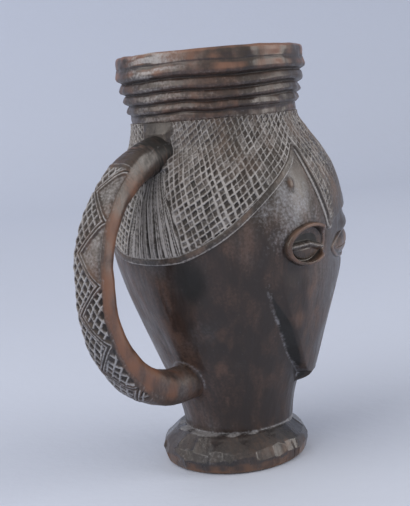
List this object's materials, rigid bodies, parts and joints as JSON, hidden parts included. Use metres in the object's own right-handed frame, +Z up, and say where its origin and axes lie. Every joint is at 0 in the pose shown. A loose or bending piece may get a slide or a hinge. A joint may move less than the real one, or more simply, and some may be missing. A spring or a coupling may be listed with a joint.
{
  "type": "palm wine cup",
  "caption": "Carved dark wood drinking cup in the form of a head with patterned hair, a ringed rim, a short neck, a round foot and a loop handle behind.",
  "frame": {"origin": "centre of the foot's flat underside, where the cup rests", "axes": "+Z up; the face looks along -Y; the handle stands out along +Y; +X is the cup's own left side"},
  "size_m": [0.1186, 0.1643, 0.2],
  "materials": {
    "dark_wood": "dark brown oiled hardwood with a satin patina and pale dust in the cuts",
    "worn_wood": "the same wood, rubbed reddish brown along edges that are handled"
  },
  "bodies": {
    "root": {"foot": "worn_wood", "neck": "dark_wood", "head": "dark_wood", "collar": "worn_wood", "handle": "worn_wood", "ear_left": "worn_wood", "ear_right": "worn_wood"}
  },
  "joints": []
}
